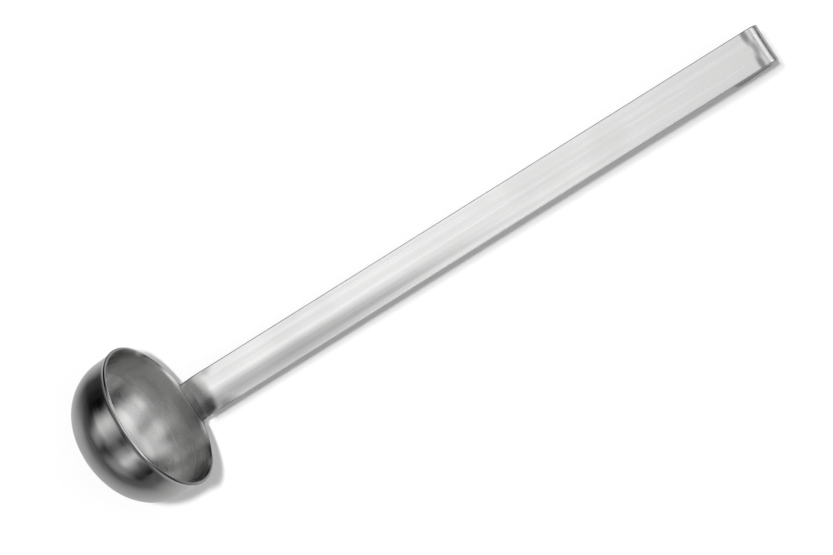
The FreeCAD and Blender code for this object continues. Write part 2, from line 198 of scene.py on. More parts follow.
class Group(Nodes):
    """Node group with named sockets."""

    def __init__(self, kind: TreeKind, name: str, inputs: dict[str, Kind], outputs: dict[str, Kind]) -> None:
        """Start an empty group.

        Args:
            kind: kind of the group.
            name: its name.
            inputs: kind of each input.
            outputs: kind of each output.
        """
        super().__init__(bpy.data.node_groups.new(name, kind.value))
        for direction, sockets in (("INPUT", inputs), ("OUTPUT", outputs)):
            for label, socket in sockets.items():
                self.tree.interface.new_socket(name=label, in_out=direction, socket_type=socket.value)
        self.given = self.add("NodeGroupInput").outputs

    def give(self, results: dict[str, Socket]) -> Tree:
        """Put out the group's results, and return the finished tree."""
        self.add("NodeGroupOutput", results)
        return self.tree

    def capture(self, geometry: Socket, fields: dict[str, tuple[str, Socket]]) -> bpy.types.Node:
        """Keep values on a geometry's points for later nodes.

        Args:
            geometry: the geometry.
            fields: type and value of each field, by the name that it is kept under.

        Returns:
            The node, whose outputs are the geometry and what it keeps.
        """
        node = self.add("GeometryNodeCaptureAttribute", {"Geometry": geometry})
        for label, (kind, value) in fields.items():
            node.capture_items.new(kind, label)
            self.feed(node.inputs[label], value)
        return node

    def ready(self, mesh: Socket, place: Socket, brush_line: Socket) -> Socket:
        """A mesh made real and smooth, with what its finish reads.

        Args:
            mesh: the mesh.
            place: place on the surface.
            brush_line: direction of the brush marks.

        Returns:
            The mesh, ready for its material.
        """
        for label, value in ((SURFACE_PLACE, place), (BRUSH_LINE, brush_line)):
            inputs = {"Geometry": mesh, "Name": label, "Value": value}
            mesh = self.add("GeometryNodeStoreNamedAttribute", inputs,
                            data_type="FLOAT_VECTOR", domain="POINT").outputs[0]
        mesh = self.add("GeometryNodeSetShadeSmooth", {"Geometry": mesh}).outputs[0]
        return self.add("GeometryNodeRealizeInstances", {"Geometry": mesh}).outputs[0]

    def dressed(self, mesh: Socket, finish: Socket, where: Setting = True) -> Socket:
        """A mesh with a material on the chosen faces."""
        inputs = {"Geometry": mesh, "Selection": where, "Material": finish}
        return self.add("GeometryNodeSetMaterial", inputs).outputs[0]


# Lines and curves


def arc(centre: Pair, radius: float, start: float, end: float, steps: int) -> list[Pair]:
    """Points along an arc, both ends included, with angles in radians."""
    turns = [start + (end - start) * step / steps for step in range(steps + 1)]
    return [(centre[0] + radius * math.cos(turn), centre[1] + radius * math.sin(turn)) for turn in turns]


def smooth_step(low: float, high: float, value: float) -> float:
    """Share from zero at one value to one at another, easing in and out; either may be the larger."""
    share = min(max((value - low) / (high - low), 0.0), 1.0)
    return share * share * (3 - 2 * share)


class Track:
    """Line in the ladle's middle plane, drawn on step by step from where it stands."""

    def __init__(self, start: Pair) -> None:
        """Start a line that points straight up.

        Args:
            start: distance from the bowl's axis, and height above the rim.
        """
        self.points = [start]
        self.lean = 0.0

    def ahead(self, runs: list[float]) -> None:
        """Draw on straight ahead, with a point at each of these distances."""
        x, z = self.points[-1]
        self.points += [(x + run * math.sin(self.lean), z + run * math.cos(self.lean)) for run in runs]

    def straight(self, length: float, steps: int) -> None:
        """Draw on straight ahead in even steps."""
        self.ahead([length * step / steps for step in range(1, steps + 1)])

    def ease_in(self, length: float, steps: int) -> None:
        """Draw on straight ahead with steps that grow shorter towards the end."""
        self.ahead([length * math.sin(math.pi / 2 * step / steps) for step in range(1, steps + 1)])

    def bend(self, radius: float, angle: float, steps: int) -> None:
        """Draw on round an arc that leans the line further back.

        Args:
            radius: the arc's radius.
            angle: how far the line leans back, in radians.
            steps: runs along the arc.
        """
        x, z = self.points[-1]
        centre = (x + radius * math.cos(self.lean), z - radius * math.sin(self.lean))
        self.points += arc(centre, radius, math.pi - self.lean, math.pi - self.lean - angle, steps)[1:]
        self.lean += angle


def strap_section(width: float, thickness: float, radius: float, steps: int = 28,
                  edge_steps: int = 5) -> list[Pair]:
    """Section of a strap with rounded edges.

    Args:
        width: size across.
        thickness: size from front to back.
        radius: rounding of the edges.
        steps: runs across each face.
        edge_steps: runs round each edge.

    Returns:
        Points all round: distance across from the middle, and depth behind the front.
    """
    reach = width / 2 - radius
    flat = [reach * (2 * step / steps - 1) for step in range(1, steps)]
    front_edge = arc((reach, radius), radius, -math.pi / 2, 0.0, edge_steps)
    right = [(across, 0.0) for across in flat] + front_edge
    right += [(across, thickness - depth) for across, depth in reversed(front_edge)]
    return right + [(-across, thickness - depth) for across, depth in right]


# Objects and materials


def in_scene(name: str, data: bpy.types.ID) -> Item:
    """New object in the scene.

    Args:
        name: the object's name.
        data: its mesh, curve, light or camera.

    Returns:
        The object, at the origin.
    """
    item = bpy.data.objects.new(name, data)
    bpy.context.scene.collection.objects.link(item)
    return item


def curve_object(name: str, points: list[Triple], closed: bool) -> Item:
    """Curve through points, joined by short straight runs.

    Args:
        name: the curve's name.
        points: its points.
        closed: whether the last point joins the first.

    Returns:
        The curve's object.
    """
    curve = bpy.data.curves.new(name, "CURVE")
    curve.dimensions = "3D"
    spline = curve.splines.new("POLY")
    spline.points.add(len(points) - 1)
    for target, place in zip(spline.points, points):
        target.co = (*place, 1.0)
    spline.use_cyclic_u = closed
    return in_scene(name, curve)


def grown(node: Piece, base: Item, tree: Tree, inputs: dict[str, Setting], place: Matrix) -> Item:
    """Plain mesh object from a curve and the tree that shapes it.

    Args:
        node: the solid that the mesh stands for.
        base: curve that the tree starts from; it is removed.
        tree: geometry tree.
        inputs: values for the tree's named inputs.
        place: where the mesh is laid.

    Returns:
        The mesh object, at the origin.
    """
    modifier = base.modifiers.new("shape", "NODES")
    modifier.node_group = tree
    sockets = {item.name: item.identifier for item in tree.interface.items_tree if item.in_out == "INPUT"}
    for label, value in inputs.items():
        modifier[sockets[label]] = value
    evaluated = base.evaluated_get(bpy.context.evaluated_depsgraph_get())
    mesh = bpy.data.meshes.new_from_object(evaluated)
    base.modifiers.remove(modifier)
    bpy.data.objects.remove(base)
    return laid(node, mesh, place)


def laid(node: Piece, mesh: bpy.types.Mesh, place: Matrix) -> Item:
    """Object of a mesh that is laid in its place, with its brush lines turned along.

    Args:
        node: the solid that the mesh stands for.
        mesh: the mesh, in the bowl's frame.
        place: where the mesh is laid.

    Returns:
        The mesh object, at the origin.
    """
    mesh.name = node.value
    mesh.transform(place)
    turn = place.to_3x3()
    for line in mesh.attributes[BRUSH_LINE].data:
        line.vector = turn @ line.vector
    return in_scene(node.value + "_dressed", mesh)


def hand_over(piece: Item, node: Piece) -> None:
    """Let a finished piece stand for its solid.

    Args:
        piece: the piece.
        node: the solid.
    """
    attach(piece, BODY)
    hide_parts(node.value)
    log.info("%s: %d faces", piece.name, len(piece.data.polygons))


def new_material(name: str) -> tuple[Material, Nodes, bpy.types.Node]:
    """Material with a tree to fill.

    Args:
        name: the material's name.

    Returns:
        The material, its tree and its surface shader.
    """
    material = bpy.data.materials.new(name)
    material.use_nodes = True
    return material, Nodes(material.node_tree), material.node_tree.nodes["Principled BSDF"]


# Steel


@dataclass(frozen=True)
class Noise:
    """Uneven pattern that breaks up a finish, with values about a half."""

    detail: float
    roughness: float

    def at(self, nodes: Nodes, place: Socket, scale: Setting = 1.0) -> Socket:
        """Value of the pattern at a place, which is scaled first."""
        inputs = {"Vector": place, "Scale": scale, "Detail": self.detail, "Roughness": self.roughness}
        return nodes.add("ShaderNodeTexNoise", inputs).outputs[0]


BRUSHED_LINES = Noise(detail=3.0, roughness=0.6)
BRUSHED_BANDS = Noise(detail=2.0, roughness=0.5)
SMUDGES = Noise(detail=4.0, roughness=0.55)
BAND_SCALE = 0.11
SMUDGE_START = 0.42
SMUDGE_FULL = 0.72
NOISE_LOW = 0.3
NOISE_HIGH = 0.7
UNEVEN_ROUGHNESS = 0.05
LINE_CONTRAST = 0.02
UNROLL_RADIUS = 20 * MM
ALONG_BRUSH_LINE = 0.25


def brush_tree() -> Tree:
    """Brush marks: fine lines along X of the given place.

    Returns:
        The group, which gives the lines' height and an uneven shine.
    """
    group = Group(
        TreeKind.SHADER, "brush_marks",
        {"Place": Kind.VECTOR, "Lines per metre": Kind.NUMBER, "Line length": Kind.NUMBER},
        {"Height": Kind.NUMBER, "Unevenness": Kind.NUMBER},
    )
    along, across, depth = group.parts(group.given["Place"])
    stretched = group.xyz(group.math("DIVIDE", along, group.given["Line length"]),
                          group.math("MULTIPLY", across, group.given["Lines per metre"]),
                          group.math("MULTIPLY", depth, group.given["Lines per metre"]))
    bands = BRUSHED_BANDS.at(group, group.scaled(stretched, BAND_SCALE))
    return group.give({"Height": BRUSHED_LINES.at(group, stretched), "Unevenness": bands})


def handling_tree() -> Tree:
    """Marks of use: soft smudges over the surface.

    Returns:
        The group, which gives how smudged a place is.
    """
    group = Group(
        TreeKind.SHADER, "marks_of_use",
        {"Place": Kind.VECTOR, "Smudge size": Kind.NUMBER},
        {"Smudge": Kind.NUMBER},
    )
    scale = group.math("DIVIDE", 1.0, group.given["Smudge size"])
    cloud = SMUDGES.at(group, group.given["Place"], scale)
    return group.give({"Smudge": group.ranged(cloud, SMUDGE_START, SMUDGE_FULL)})


@dataclass(frozen=True)
class Shade:
    """Patch of painted shade round a place on the surface, in millimetres, standing in for a dark reflection.
    """

    middle: Triple
    reach: Triple
    strength: float
    core: float = 0.3

    def left(self, nodes: Nodes, place: Socket) -> Socket:
        """Share of the steel's colour that the painted shade leaves at a place.

        Args:
            nodes: the material's tree.
            place: place on the surface.

        Returns:
            One outside the patch, less towards its middle.
        """
        middle = tuple(number * MM for number in self.middle)
        reach = tuple(number * MM for number in self.reach)
        away = nodes.length(nodes.vector("DIVIDE", nodes.vector("SUBTRACT", place, middle), reach))
        return nodes.ranged(away, self.core, 1.0, 1.0 - self.strength, 1.0)


@dataclass(frozen=True)
class Steel:
    """A finish of bare stainless steel."""

    name: str
    colour: Triple
    roughness: float
    smudge_roughness: float
    lines_per_metre: float
    line_length: float
    line_depth: float
    smudge_size: float
    around_axis: bool
    anisotropy: float
    # patches of painted shade that darken the colour where dark reflections fall
    shades: tuple[Shade, ...]

    def brushed_place(self, nodes: Nodes, place: Socket) -> Socket:
        """Place on the surface, with its first number along the brush marks.

        Args:
            nodes: the material's tree.
            place: place on the surface.

        Returns:
            Place in metres, unrolled round the axis where the marks run round it.
        """
        if not self.around_axis:
            return place
        x, y, z = nodes.parts(place)
        around = nodes.math("MULTIPLY", nodes.math("ARCTAN2", y, x), UNROLL_RADIUS)
        return nodes.xyz(around, nodes.length(nodes.xyz(x, y)), z)

    def material(self, brush: Tree, handling: Tree) -> Material:
        """Material of this finish.

        Args:
            brush: group of brush marks.
            handling: group of marks of use.

        Returns:
            The material.
        """
        material, nodes, shader = new_material(self.name)
        surface = nodes.attribute(SURFACE_PLACE)
        inputs = {"Place": self.brushed_place(nodes, surface), "Lines per metre": self.lines_per_metre,
                  "Line length": self.line_length}
        marks = nodes.add("ShaderNodeGroup", inputs, node_tree=brush).outputs
        inputs = {"Place": nodes.add("ShaderNodeTexCoord").outputs["Object"], "Smudge size": self.smudge_size}
        used = nodes.add("ShaderNodeGroup", inputs, node_tree=handling).outputs
        uneven = nodes.ranged(marks["Unevenness"], NOISE_LOW, NOISE_HIGH, -UNEVEN_ROUGHNESS, UNEVEN_ROUGHNESS)
        smudged = nodes.math("MULTIPLY", used["Smudge"], self.smudge_roughness)
        rough = nodes.math("ADD", nodes.math("ADD", smudged, uneven), self.roughness)
        shade = nodes.ranged(marks["Height"], NOISE_LOW, NOISE_HIGH, 1 - LINE_CONTRAST, 1 + LINE_CONTRAST)
        # Multiply the colour by each patch of painted shade.
        for patch in self.shades:
            shade = nodes.math("MULTIPLY", shade, patch.left(nodes, surface))
        inputs = {"Height": marks["Height"], "Distance": self.line_depth, "Strength": 1.0}
        bump = nodes.add("ShaderNodeBump", inputs)
        shader.inputs["Metallic"].default_value = 1.0
        shader.inputs["Anisotropic"].default_value = self.anisotropy
        shader.inputs["Anisotropic Rotation"].default_value = ALONG_BRUSH_LINE
        nodes.feed(shader.inputs["Base Color"], nodes.scaled(self.colour, shade))
        nodes.feed(shader.inputs["Roughness"], rough)
        nodes.feed(shader.inputs["Normal"], bump.outputs[0])
        nodes.feed(shader.inputs["Tangent"], nodes.attribute(BRUSH_LINE))
        return material


# Patches of painted dark reflection on the bowl: x, y and z of its own frame
# Painted dark reflection on the inside wall under the weld.
WALL_DARK_REFLECTION = Shade((34.7, -2.5, -3.5), (14, 15, 8.5), 0.48, 0.2)
# Painted dark reflection on the inside wall near the rim, on the -Y side.
WALL_RIGHT_DARK_REFLECTION = Shade((14, -31, -6), (20, 9, 9), 0.4, 0.2)
# Painted dark reflection along the top of the rim on the handle's side.
RIM_FAR_DARK_REFLECTION = Shade((36, 0, 0.1), (22, 36, 0.5), 0.6)
# Painted dark reflections along the top of the rim at both sides.
RIM_SIDE_DARK_REFLECTIONS = (
    Shade((-16, 32, 0), (34, 21, 1.1), 0.62, 0.6),
    Shade((-22, -27, 0), (24, 18, 1.1), 0.65, 0.6),
    Shade((10, -35, 0), (24, 14, 1.1), 0.5, 0.6),
)

# Patches of painted dark reflection on the weld: height above the rim, distance across and distance from the
# bowl's axis
# Painted dark reflection on the weld's front.
BEAD_DARK_REFLECTION = Shade((2, -6, 34.7), (17, 13, 4), 0.58)
# Painted dark reflection, deeper on one side of the weld's front.
BEAD_SIDE_DARK_REFLECTION = Shade((1, -6.5, 34.7), (7, 5, 4), 0.4, 0.2)

# Patches of painted shade and painted dark reflection on the strap: distance along its front line, across it
# and behind it
# Painted dark reflections over the dished neck, deeper towards its edges.
NECK_DARK_REFLECTIONS = (
    Shade((0, -4, 0), (9, 14, 1.6), 0.24),
    Shade((6, -7.5, 0), (10, 6, 1.6), 0.28, 0.1),
    Shade((10, 10.5, 0), (7, 5, 1.6), 0.3, 0.1),
    Shade((12, -10.5, 0), (9, 5, 1.6), 0.45, 0.2),
)
# Painted shade: a long darker band on the strap's front, off its middle, fading away from the neck.
STRAP_PAINTED_SHADE_BAND = Shade((40, -5.6, 0), (150, 5.5, 10), 0.43)
# Painted dark reflections along both long edges of the strap.
EDGE_DARK_REFLECTIONS = (
    Shade((160, 10.2, 1), (500, 0.9, 1.7), 0.48, 0.6),
    Shade((160, -10.2, 1), (500, 0.9, 1.7), 0.35, 0.6),
)
# Painted dark reflections: a band across the strap where the hook's bend starts, and a patch on the folded
# leg.
HOOK_DARK_REFLECTIONS = (
    Shade((311.6, 7.5, 0), (2.5, 7.5, 1.6), 0.6, 0.2),
    Shade((311.6, -7.5, 0), (2.5, 7.5, 1.6), 0.6, 0.2),
    Shade((313, 0, 0), (2.2, 6.5, 1.6), 0.45, 0.2),
    Shade((341, -10, 2), (13, 5, 3), 0.5, 0.7),
)

BOWL_OUTSIDE = Steel(
    name="bowl_outside",
    colour=(0.66, 0.66, 0.655),
    roughness=0.13,
    smudge_roughness=0.03,
    lines_per_metre=2600.0,
    line_length=20 * MM,
    line_depth=0.001 * MM,
    smudge_size=22 * MM,
    around_axis=True,
    anisotropy=0.83,
    shades=RIM_SIDE_DARK_REFLECTIONS,
)
BOWL_INSIDE = Steel(
    name="bowl_inside",
    colour=(0.62, 0.62, 0.615),
    roughness=0.245,
    smudge_roughness=0.04,
    lines_per_metre=2600.0,
    line_length=20 * MM,
    line_depth=0.001 * MM,
    smudge_size=22 * MM,
    around_axis=True,
    anisotropy=0.95,
    shades=(WALL_DARK_REFLECTION, WALL_RIGHT_DARK_REFLECTION, RIM_FAR_DARK_REFLECTION, *RIM_SIDE_DARK_REFLECTIONS),
)
STRAP_STEEL = Steel(
    name="strap_brushed",
    colour=(0.84, 0.84, 0.835),
    roughness=0.3,
    smudge_roughness=0.04,
    lines_per_metre=3200.0,
    line_length=30 * MM,
    line_depth=0.0004 * MM,
    smudge_size=30 * MM,
    around_axis=False,
    anisotropy=0.3,
    shades=(*NECK_DARK_REFLECTIONS, STRAP_PAINTED_SHADE_BAND, *EDGE_DARK_REFLECTIONS, *HOOK_DARK_REFLECTIONS),
)
WELD_STEEL = Steel(
    name="weld_dressed",
    colour=(0.7, 0.7, 0.695),
    roughness=0.26,
    smudge_roughness=0.04,
    lines_per_metre=3200.0,
    line_length=30 * MM,
    line_depth=0.001 * MM,
    smudge_size=30 * MM,
    around_axis=False,
    anisotropy=0.3,
    shades=(BEAD_DARK_REFLECTION, BEAD_SIDE_DARK_REFLECTION),
)


# Bowl


@dataclass
class Bowl:
    """Drawn bowl with a flared lip."""

    rim_radius: float = 37.5 * MM
    wall: float = 1.5 * MM
    depth: float = 38.5 * MM
    corner_radius: float = 24.9 * MM
    bottom_radius: float = 48.0 * MM
    lip_flare: float = 1.3 * MM
    lip_height: float = 3.0 * MM
    inner_round: float = 0.35 * MM
    outer_round: float = 0.65 * MM
    merge_distance: float = 0.0005 * MM
    bottom_steps: int = 14
    corner_steps: int = 36
    lip_steps: int = 8
    round_steps: int = 9
    turns: int = 224

    @property
    def body_radius(self) -> float:
        """Radius of the outside below the lip."""
        return self.rim_radius - self.lip_flare

    @property
    def lip_radius(self) -> float:
        """Radius of the lip's hollow outside."""
        return (self.lip_height ** 2 + self.lip_flare ** 2) / (2 * self.lip_flare)

    @property
    def lip_centre(self) -> Pair:
        """Centre of the lip's arcs: distance from the axis, and height."""
        return self.body_radius + self.lip_radius, -self.lip_height

    @property
    def bottom_centre(self) -> Pair:
        """Centre of the bottom's arcs: distance from the axis, and height."""
        return 0.0, self.bottom_radius - self.depth

    @property
    def corner_centre(self) -> Pair:
        """Centre of the arcs between the bottom and the wall.

        Returns:
            Its distance from the axis, and its height.
        """
        across = self.body_radius - self.corner_radius
        rise = math.sqrt((self.bottom_radius - self.corner_radius) ** 2 - across ** 2)
        return across, self.bottom_centre[1] - rise

    def lip(self, height: float, layer: float) -> float:
        """Distance of the lip from the axis.

        Args:
            height: height above the rim, zero or less.
            layer: how far in from the outside, up to the wall.

        Returns:
            The distance.
        """
        reach = height - self.lip_centre[1]
        return self.lip_centre[0] - math.sqrt((self.lip_radius + layer) ** 2 - reach ** 2)

    def lip_points(self, layer: float, rounding: float) -> list[Pair]:
        """Points of one side of the lip, from the straight wall up to the top of the rim.

        Args:
            layer: how far in from the outside the side lies.
            rounding: radius of the rim's edge on this side, below zero on the inside.

        Returns:
            The points.
        """
        radius = abs(rounding)
        round_centre = (self.lip(-radius, layer + rounding), -radius)
        reach = round_centre[1] - self.lip_centre[1]
        lean = math.asin(reach / (self.lip_radius + layer + rounding))
        points = arc(self.lip_centre, self.lip_radius + layer, math.pi, math.pi - lean, self.lip_steps)
        outward = -lean if rounding > 0 else math.pi - lean
        return points + arc(round_centre, radius, outward, math.pi / 2, self.round_steps)[1:]

    def side(self, layer: float, rounding: float) -> list[Pair]:
        """Points of one side of the bowl from its bottom to the rim.

        Args:
            layer: how far in from the outside the side lies.
            rounding: radius of the rim's edge on this side, below zero on the inside.

        Returns:
            The points.
        """
        across, height = self.corner_centre
        meet = math.atan2(self.bottom_centre[1] - height, across)
        bottom = arc(self.bottom_centre, self.bottom_radius - layer, -math.pi / 2, -meet, self.bottom_steps)
        corner = arc(self.corner_centre, self.corner_radius - layer, -meet, 0.0, self.corner_steps)
        return bottom + corner[1:] + self.lip_points(layer, rounding)

    def outline(self) -> list[Pair]:
        """Half section of the bowl, up the outside and down the inside."""
        inside = self.side(self.wall, -self.inner_round)
        return self.side(0.0, self.outer_round) + inside[::-1]

    def laid_down(self, tilt: float) -> Matrix:
        """Where the bowl's frame lies on the table, so that the bowl fills its solid's box.

        Args:
            tilt: angle of the bowl's axis above the table.

        Returns:
            The place of the bowl's frame.
        """
        turned = Matrix.Rotation(math.pi / 2 - tilt, 4, "Y")
        edge = [turned @ Vector((side * radius, 0, height))
                for radius, height in self.outline() for side in (-1, 1)]
        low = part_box(Piece.BOWL.value)[0]
        shift = Vector((low.x - min(point.x for point in edge), 0, low.z - min(point.z for point in edge)))
        return Matrix.Translation(shift) @ turned

    def lathe(self) -> Tree:
        """Tree that turns a half section round the axis.

        Returns:
            The tree, with one finish up to the rim point and another from there.
        """
        group = Group(
            TreeKind.GEOMETRY, "turned_shell",
            {"Section": Kind.GEOMETRY, "Rim radius": Kind.NUMBER, "Turns": Kind.COUNT,
             "Rim point": Kind.NUMBER, "Outside": Kind.MATERIAL, "Inside": Kind.MATERIAL},
            {"Shell": Kind.GEOMETRY},
        )
        given = group.given
        circle = group.add("GeometryNodeCurvePrimitiveCircle",
                           {"Resolution": given["Turns"], "Radius": given["Rim radius"]})
        upright = group.add("GeometryNodeSetCurveNormal", {"Curve": circle.outputs[0]}, mode="Z_UP")
        number = group.add("GeometryNodeInputIndex").outputs[0]
        counted = group.capture(given["Section"], {"Number": ("FLOAT", number)})
        inwards = group.xyz(group.math("MULTIPLY", given["Rim radius"], -1.0))
        section = group.add("GeometryNodeTransform",
                            {"Geometry": counted.outputs["Geometry"], "Translation": inwards})
        swept = group.add("GeometryNodeCurveToMesh",
                          {"Curve": upright.outputs[0], "Profile Curve": section.outputs[0]})
        merged = group.add("GeometryNodeMergeByDistance",
                           {"Geometry": swept.outputs[0], "Distance": self.merge_distance})
        place = group.add("GeometryNodeInputPosition").outputs[0]
        around = group.vector("NORMALIZE", group.vector("CROSS_PRODUCT", (0, 0, 1), place))
        shell = group.ready(merged.outputs[0], place, around)
        past_rim = group.math("GREATER_THAN", counted.outputs["Number"], given["Rim point"])
        shell = group.dressed(shell, given["Outside"])
        return group.give({"Shell": group.dressed(shell, given["Inside"], past_rim)})

    def build(self, outside: Material, inside: Material, place: Matrix) -> Item:
        """Make the bowl.

        Args:
            outside: steel of its outside.
            inside: steel of its inside, from the middle of the rim.
            place: where the bowl's frame lies.

        Returns:
            The bowl's object.
        """
        outline = self.outline()
        section = curve_object("bowl_section", [(radius, -height, 0.0) for radius, height in outline], False)
        inputs = {"Rim radius": self.rim_radius, "Turns": self.turns, "Rim point": (len(outline) - 1) / 2,
                  "Outside": outside, "Inside": inside}
        return grown(Piece.BOWL, section, self.lathe(), inputs, place)


# Weld


@dataclass
class Weld:
    """Weld between the rim and the strap's foot, dressed flush in front and left as a bead behind."""

    bowl: Bowl
    strap_width: float = 20.0 * MM
    strap_thickness: float = 2.0 * MM
    edge_round: float = 0.7 * MM
    height: float = 3.0 * MM
    fill: float = 1.8 * MM
    least_fill: float = 0.1 * MM
    flush_share: float = 0.3
    toe: float = 1.2 * MM
    toe_edge: float = 0.3 * MM
    crown: float = 0.35 * MM
    rim_crown_share: float = 0.25
    root: float = 0.9 * MM
    sink: float = 0.04 * MM
    sink_run: float = 0.3 * MM
    ripple: float = 0.07 * MM
    ripple_pitch: float = 1.3 * MM
    ripple_bow: float = 0.6
    sharp_angle: float = math.radians(50.0)
    levels: int = 40

    @property
    def foot_radius(self) -> float:
        """Distance of the strap's front from the bowl's axis, in line with the inside of the wall."""
        return self.bowl.body_radius - self.bowl.wall

    def strap(self) -> list[Pair]:
        """Section of the strap that the weld carries."""
        return strap_section(self.strap_width, self.strap_thickness, self.edge_round)

    def fill_depth(self, across: float) -> float:
        """How far below the rim the front fills the lip.

        Args:
            across: distance from the middle.

        Returns:
            The depth, which follows an arc.
        """
        reach = self.strap_width / 2 + self.toe
        radius = (reach ** 2 + self.fill ** 2) / (2 * self.fill)
        return self.fill - radius + math.sqrt(radius ** 2 - across ** 2)

    def front(self, height: float, across: float) -> float:
        """Distance of the front from the bowl's axis.

        Args:
            height: height above the rim.
            across: distance from the middle.

        Returns:
            The distance, which runs from the lip's inside below and beside the strap to flush with the wall.
        """
        lip = self.bowl.lip(min(height, 0.0), self.bowl.wall)
        edge = self.strap_width / 2
        beside = smooth_step(edge - 2 * self.toe, edge + self.toe, abs(across))
        beside *= 1 - max(height, 0.0) / self.height
        depth = max(self.fill_depth(across), self.least_fill)
        flush = smooth_step(-depth, -self.flush_share * depth, height) * (1 - beside)
        sunk = self.sink * smooth_step(0.0, -self.sink_run, height) * (1 - flush)
        return lip + flush * (self.foot_radius - lip) + sunk

    def back(self, height: float, across: float) -> float:
        """Distance of the back from the bowl's axis.

        Args:
            height: height above the rim.
            across: distance from the middle.

        Returns:
            The distance, with the bead's crown and ripples.
        """
        rim_crown = self.crown * self.rim_crown_share
        if height <= 0:
            below = min(-height / self.root, 1.0)
            return self.bowl.lip(height, 0.0) + rim_crown * (1 - below) - self.sink * below
        share = height / self.height
        strap_back = self.foot_radius + self.strap_thickness
        chord = self.bowl.rim_radius + share * (strap_back - self.bowl.rim_radius)
        hump = 4 * share * (1 - share)
        wave = math.cos(2 * math.pi * (across / self.ripple_pitch + self.ripple_bow * (share - 0.5) ** 2))
        return chord + hump * (self.crown + self.ripple * wave) + rim_crown * (1 - share)

    def half_width(self, height: float) -> float:
        """Half of the weld's width at a height above the rim, with the fillet beside the strap."""
        rise = min(max(height - self.toe_edge, 0.0), self.toe)
        return self.strap_width / 2 + self.toe - math.sqrt(self.toe ** 2 - (self.toe - rise) ** 2)

    def spot(self, height: float, across: float, depth: float) -> Vector:
        """Place on the weld's surface.

        Args:
            height: height above the rim.
            across: distance from the middle, on the strap's section.
            depth: depth behind the front, on the strap's section.

        Returns:
            The place in the bowl's frame.
        """
        wide = across * self.half_width(height) / (self.strap_width / 2)
        front = self.front(height, wide)
        share = depth / self.strap_thickness
        x = front + share * (self.back(height, wide) - front)
        return Vector((x - front + math.sqrt(front ** 2 - wide ** 2), wide, height))

    def build(self, finish: Material, place: Matrix) -> Item:
        """Make the weld.

        Args:
            finish: its steel.
            place: where the bowl's frame lies.

        Returns:
            The weld's object.
        """
        section = self.strap()
        count = len(section)
        heights = [-self.fill + (self.height + self.fill) * level / self.levels
                   for level in range(self.levels + 1)]
        points = [self.spot(height, *spot) for height in heights for spot in section]
        rings = [[level * count + number for number in range(count)] for level in range(self.levels + 1)]
        faces = [(low[number - 1], low[number], high[number], high[number - 1])
                 for low, high in zip(rings, rings[1:]) for number in range(count)]
        mesh = bpy.data.meshes.new(Piece.WELD.value)
        mesh.from_pydata(points, [], [rings[0][::-1], *faces, rings[-1]])
        mesh.shade_smooth()
        mesh.set_sharp_from_angle(angle=self.sharp_angle)
        places = mesh.attributes.new(SURFACE_PLACE, "FLOAT_VECTOR", "POINT")
        lines = mesh.attributes.new(BRUSH_LINE, "FLOAT_VECTOR", "POINT")
        for vertex, at, line in zip(mesh.vertices, places.data, lines.data):
            at.vector = (vertex.co.z, vertex.co.y, vertex.co.x)
            line.vector = (0, 0, 1)
        mesh.materials.append(finish)
        return laid(Piece.WELD, mesh, place)


# Handle


def rounded_share(group: Group, left: Socket, radius: Socket, whole: Socket) -> Socket:
    """Share of a size that is left near the strap's tip, where its corners are rounded.

    Args:
        group: tree that the sums are added to.
        left: distance that is left to the tip.
        radius: rounding of the corners.
        whole: the size away from the tip.

    Returns:
        The share.
    """
    missing = group.math("MAXIMUM", group.math("SUBTRACT", radius, left), 0.0)
    squares = group.math("SUBTRACT", group.math("POWER", radius, 2.0), group.math("POWER", missing, 2.0))
    chord = group.math("SQRT", group.math("MAXIMUM", squares, 0.0))
    taken = group.math("MULTIPLY", group.math("SUBTRACT", radius, chord), 2.0)
    return group.math("SUBTRACT", 1.0, group.math("DIVIDE", taken, whole))


def neck_dish(group: Group, along: Socket, across: Socket) -> Socket:
    """How far forwards a place on the strap lies because the neck is dished to the rim's curve.

    Args:
        group: tree of the strap, with its sizes.
        along: distance along the front line.
        across: distance from the middle.

    Returns:
        The distance, which falls to zero over the neck.
    """
    ease = group.ranged(along, 0.0, group.given["Neck length"])
    bow = group.math("DIVIDE", group.math("SUBTRACT", 1.0, ease), group.given["Dish radius"])
    slope = group.math("MULTIPLY", bow, across)
    rest = group.math("SQRT", group.math("SUBTRACT", 1.0, group.math("POWER", slope, 2.0)))
    return group.math("DIVIDE", group.math("MULTIPLY", slope, across), group.math("ADD", 1.0, rest))


def hook_curl(group: Group, along: Socket, across: Socket) -> Socket:
    """How far outwards a place on the strap lies because the edges curl in the hook's bend.

    Args:
        group: tree of the strap, with its sizes.
        along: distance along the front line.
        across: distance from the middle.

    Returns:
        The distance, which is the saddle's at the edges in the middle of the bend.
    """
    into = group.math("SUBTRACT", along, group.given["Bend start"])
    bent = group.math("DIVIDE", into, group.given["Bend length"])
    turn = group.ranged(bent, 0.0, 1.0, 0.0, math.pi, smooth=False)
    hump = group.math("POWER", group.math("SINE", turn), 2.0)
    half = group.math("MULTIPLY", group.given["Width"], 0.5)
    edgeward = group.math("POWER", group.math("DIVIDE", across, half), 2.0)
    return group.math("MULTIPLY", group.math("MULTIPLY", hump, edgeward), group.given["Saddle"])


